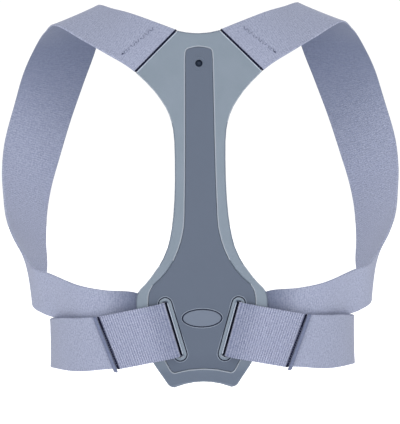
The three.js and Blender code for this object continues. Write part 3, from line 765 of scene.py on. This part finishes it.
def make_shading_modifier():
    tree = bpy.data.node_groups.new("soft_edges", "GeometryNodeTree")
    link = tree.links.new
    tree.interface.new_socket(name="Geometry", in_out="INPUT", socket_type="NodeSocketGeometry")
    tree.interface.new_socket(name="Geometry", in_out="OUTPUT", socket_type="NodeSocketGeometry")
    entry, leave = add(tree, "NodeGroupInput"), add(tree, "NodeGroupOutput")
    weld = add(tree, "GeometryNodeMergeByDistance", {"Distance": 0.004 * MM})
    angle = add(tree, "GeometryNodeInputMeshEdgeAngle")
    steep = maths(tree, "GREATER_THAN", angle.outputs[0], math.radians(SHARP_FROM))
    faces = add(tree, "GeometryNodeSetShadeSmooth", domain="FACE")
    edges = add(tree, "GeometryNodeSetShadeSmooth", {"Shade Smooth": False}, domain="EDGE")
    link(entry.outputs[0], weld.inputs["Geometry"])
    link(weld.outputs[0], faces.inputs["Geometry"])
    link(faces.outputs[0], edges.inputs["Geometry"])
    link(steep, edges.inputs["Selection"])
    link(edges.outputs[0], leave.inputs[0])
    return tree


SOFT_EDGES = make_shading_modifier()


def dress_node(node_name, material):
    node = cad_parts[node_name]
    for held in node.material_slots:
        held.material = material
    shading = node.modifiers.new("soft_edges", "NODES")
    shading.node_group = SOFT_EDGES
    node.modifiers.new("even_normals", "WEIGHTED_NORMAL").keep_sharp = True


dress_node("back_plate", frame_plastic)
dress_node("centre_panel", panel_plastic)
dress_node("oval_badge", badge_plastic)


# Stitches, seams, and beads and sheets of painted light and shade

SIDES = (("left", -1), ("right", 1))

# The zigzag row on a shoulder strap, from its upper to its lower end in x and z, and the size of
# one stitch
SHOULDER_ROW = {
    "upper": (39.5, 162.0), "lower": (67.4, 139.6), "stitches": 13,
    "half_length": 0.7, "half_width": 1.3, "jitter": 0.2, "rise": 0.25, "radius": 0.36,
}

# How many rings of a strap, counted from the plate, are searched for the place of a stitch
SHOULDER_RINGS = 90


def surface_point(rings, normals, x, z):
    """The place on a strap's outer face that lies over x, z in the back view."""
    best = None
    for i in range(SHOULDER_RINGS):
        a, b, _ = rings[i]
        for k in range(41):
            p = a + (b - a) * k / 40
            distance = (abs(p[0]) - x) ** 2 + (p[2] - z) ** 2
            if best is None or distance < best[0]:
                best = (distance, p, normals[i])
    return best[1], best[2]


def shoulder_stitches(hand, side, rings, normals):
    """The zigzag row that holds the strap's end, parallel to the arm of the plate, and its knot."""
    upper, lower = np.array(SHOULDER_ROW["upper"]), np.array(SHOULDER_ROW["lower"])
    count, jitter = SHOULDER_ROW["stitches"], SHOULDER_ROW["jitter"]
    way = unit(lower - upper)
    cross = np.array([-way[1], way[0]])
    paths = []
    for i in range(count):
        at = upper + (lower - upper) * (i + 0.5) / count
        turn = 1 if i % 2 else -1
        ends = []
        for sign in (-1, 1):
            aside = sign * turn * SHOULDER_ROW["half_width"] + random.uniform(-jitter, jitter)
            spot = at + way * sign * SHOULDER_ROW["half_length"] + cross * aside
            ends.append(surface_point(rings, normals, spot[0], spot[1]))
        normal = -(ends[0][1] + ends[1][1]) / 2
        paths.append(stitch(ends[0][0], ends[1][0], normal, SHOULDER_ROW["rise"]))
    threads(f"shoulder_stitches_{hand}", paths, SHOULDER_ROW["radius"], pale_thread)
    knot, normal = surface_point(rings, normals, lower[0] + 0.8, lower[1] - 0.6)
    slip = np.array([0.9 * side, 0.0, -0.5])
    path = stitch(knot - slip, knot + slip, -normal, 0.5)
    threads(f"shoulder_knot_{hand}", [path], 0.6, dark_thread, sides=8)


def seam_frame(side):
    """Ends, across direction and outward normal of the seam bar."""
    first, second = seam_section(side, 0.0), seam_section(side, BINDING["width"])
    way = unit(second[0] - first[0])
    normal = unit(np.cross(way, first[1] - first[0])) * side
    down = unit(first[0] - first[1])
    return first, way, normal, down


# The rolled tape over a seam: how deep it is seated, the length of its rounded ends, its ripples
# and the share of its thickness that it swells to
ROLL = {"seat": 0.35, "end": 1.1, "ripple": 0.05, "pitch": 2.2, "swell": 1.05, "belly": 0.3}


def seam_bar(hand, side):
    """The rolled tape over the seam between ribbed webbing and belt."""
    first, way, normal, down = seam_frame(side)
    lift = WEBBING_THICKNESS + BINDING["lift"] - ROLL["seat"]
    top = first[1] + normal * lift
    foot = first[0] + down * BINDING["tail"] + normal * lift
    steps, arcs = 90, 12
    vertices, faces, place = [], [], []
    length = np.linalg.norm(foot - top)
    for i in range(steps + 1):
        share = i / steps
        centre = top + (foot - top) * share
        from_end = min(min(share, 1 - share) * length / ROLL["end"], 1.0)
        taper = max(math.sqrt(max(0.0, 1 - (1 - from_end) ** 2)), 0.05)
        ripple = 1 + ROLL["ripple"] * math.cos(2 * math.pi * share * length / ROLL["pitch"])
        for k in range(arcs):
            angle = 2 * math.pi * k / arcs
            flat = 0.55 + 0.45 * math.cos(angle)
            across = flat * BINDING["width"]
            high = math.sin(angle)
            full = BINDING["thickness"] * ROLL["swell"] * high if high > 0 else ROLL["belly"] * high
            rise = full * taper * ripple
            vertices.append(centre + way * (across - BINDING["width"] / 2) * taper
                            + way * BINDING["width"] / 2 + normal * (rise + ROLL["seat"]))
            place.append((share * length, across, 0.0))
    for i in range(steps):
        faces.extend(loop_faces(i * arcs, (i + 1) * arcs, arcs))
    faces.append(tuple(range(arcs)))
    faces.append(tuple(steps * arcs + k for k in reversed(range(arcs))))
    bar = make_object(f"seam_bar_{hand}", vertices, faces, binding_tape)
    set_weave(bar, place)
    orient_outward(bar)
    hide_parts(f"seam_binding_{hand}")


# The navy line of painted shade beside a seam bar: its width, and where its stitches start, in
# millimetres
SEAM_LINE = {"width": 1.9, "first": 12.0, "free": 14.0, "pitch": 2.2, "half_stitch": 0.55}


def seam_thread(hand, side):
    """The stitched line on the inner side of the seam bar: a navy strip of painted shade in the
    groove, with navy stitches over it.
    """
    first, way, normal, down = seam_frame(side)
    rise = normal * (WEBBING_THICKNESS - 0.2)
    inner = -way * SEAM_LINE["width"]
    groove = [
        (first[0] + inner + rise, first[1] + inner + rise), (first[0] + rise, first[1] + rise),
    ]
    band(f"seam_groove_shade_{hand}", groove, navy_shade, side, step=0.5, thickness=1.0,
         middle_columns=60)
    paths = []
    length = np.linalg.norm(first[1] - first[0])
    pitch, half = SEAM_LINE["pitch"], SEAM_LINE["half_stitch"]
    for i in range(int((length - SEAM_LINE["free"]) / pitch)):
        at = first[1] + down * (SEAM_LINE["first"] + pitch * (i + 0.5)) + inner * 0.5 + rise + normal
        paths.append(stitch(at - down * half - way * half, at + down * half + way * half, normal, 0.3))
    threads(f"seam_stitches_{hand}", paths, 0.26, navy_thread)


# Depth and shift of the inner wall of a slot, from its collar to the back
SLOT_WALL = ((-5.3, 0.0), (-4.9, 0.0), (-3.2, 1.35), (-1.5, 2.7), (-0.6, 2.7))

# Half lengths of the slot's painted wall shade and painted lip highlight, and how far out its painted
# end shade lies
SLOT_LIGHT_AND_SHADE = {"wall_shade": 24.6, "lip": 24.2, "ends": 25.45}


def slot_wall_shade(hand, side):
    """A dark sheet of painted shade on the inner wall of the slot."""
    reach = SLOT_LIGHT_AND_SHADE["wall_shade"]
    rows = []
    for depth, shift in SLOT_WALL:
        across = -SLOT["half_width"] + shift + 0.3
        rows.append(tuple(slot_point(side, across, end, depth) for end in (-reach, reach)))
    band(f"slot_wall_shade_{hand}", rows, navy_shade, -side, step=0.4, thickness=0.2,
         middle_columns=12)


def slot_light_and_shade(hand, side):
    """A light bead of painted highlight on the inner edge of the slot, and dark beads of painted shade
    at its ends beyond the webbing.
    """
    reach = SLOT_LIGHT_AND_SHADE["lip"]
    lip = [
        slot_point(side, -SLOT["half_width"] + 0.1, -reach + 2 * reach * i / 40, COLLAR_TOP + 0.45)
        for i in range(41)
    ]
    threads(f"slot_lip_{hand}", [lip], 0.55, rim_highlight_plastic, sides=8)
    ends = [
        [slot_point(side, -1.9 + 0.4 * i, sign * SLOT_LIGHT_AND_SHADE["ends"], -2.6) for i in range(11)]
        for sign in (-1, 1)
    ]
    threads(f"slot_end_shade_{hand}", ends, 0.42, groove_shade, sides=8)


def arm_gap_shade(hand, side):
    """A dark sheet of painted shade in the gap between the arm of the plate and the strap."""
    rows = [arm_section(side, inwards, 0.99, depth=-4.15) for inwards in (-0.15, -0.9, -1.4, -1.95)]
    band(f"arm_gap_shade_{hand}", rows, navy_shade, -side, step=0.4, thickness=0.25,
         middle_columns=12)


def arm_rim_highlight(hand, side):
    """A light bead of painted highlight on the plate's rounded edge along the arm seam."""
    high, low = arm_section(side, 0.6, 0.965, depth=-PLATE_THICKNESS + 0.1)
    path = [low + (high - low) * i / 24 for i in range(25)]
    threads(f"arm_rim_highlight_{hand}", [path], 0.6, rim_highlight_plastic, sides=8)


def no_swell(share):
    return 0.0


def closed_ring(name, path, radius, material, sides=8, swell=no_swell):
    """A round bead along a closed path on the panel. swell gives what a place adds to the radius."""
    vertices, faces = [], []
    count = len(path)
    for i, p in enumerate(path):
        thick = radius + swell(i / count)
        way = unit(path[(i + 1) % count] - path[i - 1])
        outward = unit(np.cross(way, np.array([0.0, 1.0, 0.0])))
        inward = np.cross(outward, way)
        for k in range(sides):
            turn = 2 * math.pi * k / sides
            vertices.append(p + (outward * math.cos(turn) + inward * math.sin(turn)) * thick)
        faces.extend(loop_faces(i * sides, (i + 1) % count * sides, sides))
    ring = make_object(name, vertices, faces, material)
    orient_outward(ring)


# How far outside a collar or the badge the middle of its painted groove shade and of its painted lip
# highlight lies
GROOVE_OUT = 0.45
LIP_HIGHLIGHT_OUT = 1.35


def collar_rings(hand, side):
    """A dark ring of painted shade in the groove round the collar of a slot, and a light ring of
    painted highlight on the panel's soft lip outside it.
    """
    def path(spread, depth):
        half_length = SLOT_HALF_LENGTH + spread
        radius = SLOT["half_width"] + spread
        points = []
        for end in (1, -1):
            for i in range(25):
                angle = math.pi * (i / 24) + (0 if end > 0 else math.pi)
                along = end * (half_length - radius) + radius * math.sin(angle)
                points.append(slot_point(side, radius * math.cos(angle), along, depth))
        return points
    groove = path(COLLAR_WIDTH + GROOVE_OUT, PANEL_DEPTH + 0.55)
    closed_ring(f"collar_groove_shade_{hand}", groove, 0.42, groove_shade)
    lip = path(COLLAR_WIDTH + LIP_HIGHLIGHT_OUT, PANEL_DEPTH + 0.1)
    closed_ring(f"collar_lip_{hand}", lip, 0.36, lip_highlight_plastic)


def badge_rings():
    """A dark ring of painted shade in the groove round the badge, wider at its ends, and a light ring
    of painted highlight on the panel's soft lip.
    """
    def path(spread, depth):
        points = []
        for i in range(96):
            angle = 2 * math.pi * i / 96
            x = (BADGE["length"] / 2 + spread) * math.cos(angle)
            z = BADGE["up"] + (BADGE["height"] / 2 + spread) * math.sin(angle)
            points.append(np.array([x, bend(x, z) + depth, z]))
        return points

    def at_ends(share):
        return 0.5 * math.cos(2 * math.pi * share) ** 2
    groove = path(GROOVE_OUT, PANEL_DEPTH + 0.45)
    closed_ring("badge_groove_shade", groove, 0.38, groove_shade, swell=at_ends)
    lip = path(LIP_HIGHLIGHT_OUT, PANEL_DEPTH + 0.1)
    closed_ring("badge_lip", lip, 0.3, lip_highlight_plastic)


# Bands. A shade function gives how deep a place lies in shade, from 0 to 1

SOFT_SHADE = 0.18

# Shade of a strap: its depth beside the plate and where it fades outwards, the heights between
# which the front darkens a little and then deeply, the height below which the strap is under the
# arm, and the depth behind which it is at the back
STRAP_SHADE = {
    "by_plate": 0.54, "fade": (58.0, 90.0), "faint": 0.2, "faint_from": (-20.0, 60.0),
    "deep": 0.62, "deep_from": (30.0, 168.0), "arm_height": -50.0, "back_depth": 60.0,
}


def even_shade(centre, outer):
    return SOFT_SHADE


def strap_shade(centre, outer):
    """Deep beside the plate's edge on the outer face, under the shoulder on the inner one."""
    under_arm, at_back = centre[2] < STRAP_SHADE["arm_height"], centre[1] < STRAP_SHADE["back_depth"]
    if outer:
        by_plate = 1 - smoothstep(abs(centre[0]), *STRAP_SHADE["fade"]) if under_arm else 0.0
        return SOFT_SHADE + STRAP_SHADE["by_plate"] * by_plate
    if at_back:
        return SOFT_SHADE
    faint = smoothstep(centre[2], *STRAP_SHADE["faint_from"])
    deep = smoothstep(centre[2], *STRAP_SHADE["deep_from"])
    return STRAP_SHADE["faint"] * faint + STRAP_SHADE["deep"] * deep


def slot_shade(centre, outer):
    """Soft beside the slot, on both faces."""
    return 0.3 * (1 - smoothstep(abs(centre[0]), 32.0, 52.0))


for hand, side in SIDES:
    strap, strap_rings, strap_normals = band(
        f"strap_{hand}", strap_sections(side), smooth_elastic, side, selvedge=0.2,
        shade=strap_shade)
    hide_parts(f"shoulder_strap_{hand}")
    shoulder_stitches(hand, side, strap_rings, strap_normals)
    ribbed, _, _ = band(
        f"ribbed_band_{hand}", ribbed_sections(side), ribbed_elastic, side,
        step=0.35, rib=RIB, shade=slot_shade)
    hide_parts(f"ribbed_webbing_{hand}")
    belt, _, _ = band(
        f"belt_{hand}", belt_sections(side, hand == "right"), smooth_elastic, side,
        selvedge=0.2, shade=even_shade)
    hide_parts(f"waist_belt_{hand}")
    seam_bar(hand, side)
    seam_thread(hand, side)
    slot_wall_shade(hand, side)
    slot_light_and_shade(hand, side)
    arm_gap_shade(hand, side)
    arm_rim_highlight(hand, side)
    collar_rings(hand, side)
badge_rings()


def hook_patch():
    """The hook patch between the two belt ends at the front."""
    reach = waist_angle(HOOK["length"] / 2)
    offset = WEBBING_THICKNESS + HOOK["gap"]
    rows = []
    for i in range(41):
        angle = math.pi - reach + 2 * reach * i / 40
        rows.append(tuple(
            waist_point(1, angle, WAIST["seam_up"] + sign * HOOK["height"] / 2, offset)
            for sign in (-1, 1)
        ))
    patch, _, _ = band("hook_pad", rows, hook_tape, 1, thickness=HOOK["thickness"])
    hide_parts("hook_patch")


hook_patch()


def hole_parts():
    """A low ring round the hole, and a small dark core at its bottom that paints the shade inside the
    hole.
    """
    def at(radius, angle, depth):
        x, z = radius * math.cos(angle), HOLE_UP + radius * math.sin(angle)
        return np.array([x, bend(x, z) + depth, z])

    ring = [at(5.8, 2 * math.pi * i / 72, PANEL_DEPTH + 0.12) for i in range(72)]
    closed_ring("hole_ring", ring, 0.3, panel_plastic)
    floor = PANEL_DEPTH + 3.1
    profile = ((3.2, 0.1), (3.2, -0.1), (1.7, -0.15), (1.35, -0.9), (0.8, -1.15), (0.3, -1.2))
    sides = 32
    vertices = [
        at(radius, 2 * math.pi * k / sides, floor + rise)
        for radius, rise in profile for k in range(sides)
    ]
    faces = []
    for i in range(len(profile) - 1):
        faces.extend(loop_faces(i * sides, (i + 1) * sides, sides))
    faces.append(tuple(range(sides)))
    faces.append(tuple((len(profile) - 1) * sides + k for k in reversed(range(sides))))
    core = make_object("hole_shade_core", vertices, faces, hole_shade_plastic)
    orient_outward(core)


hole_parts()


# Floor, light and camera

# Half width and height of the floor in metres, and the light that it gives from below
FLOOR_REACH, FLOOR_HEIGHT = 60.0, -0.178
FLOOR_GLOW = 0.6


def make_floor():
    mesh = bpy.data.meshes.new("floor")
    signs = ((-1, -1), (1, -1), (1, 1), (-1, 1))
    corners = [(x * FLOOR_REACH, y * FLOOR_REACH, FLOOR_HEIGHT) for x, y in signs]
    mesh.from_pydata(corners, [], [(0, 1, 2, 3)])
    floor = bpy.data.objects.new("floor", mesh)
    bpy.context.scene.collection.objects.link(floor)
    material = bpy.data.materials.new("pale_floor")
    material.use_nodes = True
    tree = material.node_tree
    shader = tree.nodes["Principled BSDF"]
    shader.inputs["Base Color"].default_value = (0.72, 0.72, 0.73, 1.0)
    shader.inputs["Roughness"].default_value = 0.9
    shader.inputs["Specular IOR Level"].default_value = 0.1
    shader.inputs["Emission Color"].default_value = (1.0, 1.0, 1.0, 1.0)
    path = add(tree, "ShaderNodeLightPath")
    glow = maths(tree, "MULTIPLY_ADD", path.outputs["Is Camera Ray"], 1 - FLOOR_GLOW, FLOOR_GLOW)
    tree.links.new(glow, shader.inputs["Emission Strength"])
    mesh.materials.append(material)


def area_light(name, place, size, power):
    data = bpy.data.lights.new(name, "AREA")
    data.shape = "DISK"
    data.size = size
    data.energy = power
    light = bpy.data.objects.new(name, data)
    bpy.context.scene.collection.objects.link(light)
    light.location = place
    light.rotation_mode = "QUATERNION"
    light.rotation_quaternion = (Vector(LIGHT_AIM) - Vector(place)).to_track_quat("-Z", "Y")


# The point that all lights face
LIGHT_AIM = (0.0, 0.05, 0.0)

# Strength of the surrounding light near the horizon and from above
LOW_SKY, HIGH_SKY = 0.28, 0.48


def make_world():
    world = bpy.data.worlds.new("studio")
    bpy.context.scene.world = world
    world.use_nodes = True
    tree = world.node_tree
    link = tree.links.new
    tree.nodes.clear()
    way = add(tree, "ShaderNodeTexCoord")
    parts = add(tree, "ShaderNodeSeparateXYZ")
    link(way.outputs["Generated"], parts.inputs[0])
    height = add(tree, "ShaderNodeMapRange", {
        "From Min": -0.4, "From Max": 0.8, "To Min": LOW_SKY, "To Max": HIGH_SKY,
    })
    link(parts.outputs[2], height.inputs[0])
    soft = add(tree, "ShaderNodeBackground", {"Color": (0.96, 0.98, 1.0, 1.0)})
    link(height.outputs[0], soft.inputs["Strength"])
    plain = add(tree, "ShaderNodeBackground", {"Color": (1.0, 1.0, 1.0, 1.0), "Strength": 1.05})
    path = add(tree, "ShaderNodeLightPath")
    mix = add(tree, "ShaderNodeMixShader")
    out = add(tree, "ShaderNodeOutputWorld")
    link(path.outputs["Is Camera Ray"], mix.inputs[0])
    link(soft.outputs[0], mix.inputs[1])
    link(plain.outputs[0], mix.inputs[2])
    link(mix.outputs[0], out.inputs[0])


def make_camera():
    """The camera stands where the photo was taken from. axis_x and axis_y are the photo's point
    that lies on the axis of the model, in pixels."""
    distance = 4.0
    pixel = 0.888 * MM
    image_width, image_height = 400, 424
    axis_x, axis_y = 200.8, 208.75
    data = bpy.data.cameras.new("camera")
    data.sensor_width = 36.0
    data.lens = data.sensor_width * distance / (image_height * pixel)
    data.clip_end = 200.0
    camera = bpy.data.objects.new("camera", data)
    bpy.context.scene.collection.objects.link(camera)
    aside, above = axis_x - image_width / 2, axis_y - image_height / 2
    camera.location = (-aside * pixel, -distance, above * pixel)
    camera.rotation_euler = (math.radians(90.0), math.radians(0.72), 0.0)
    bpy.context.scene.camera = camera


make_floor()
area_light("key", (-0.5, -2.6, 3.4), 2.4, 50.0)
area_light("fill", (0.2, -3.9, -0.1), 3.0, 62.0)
area_light("rim", (0.4, 3.4, 2.2), 2.4, 55.0)
make_world()
make_camera()
bpy.context.scene.view_settings.view_transform = "Standard"
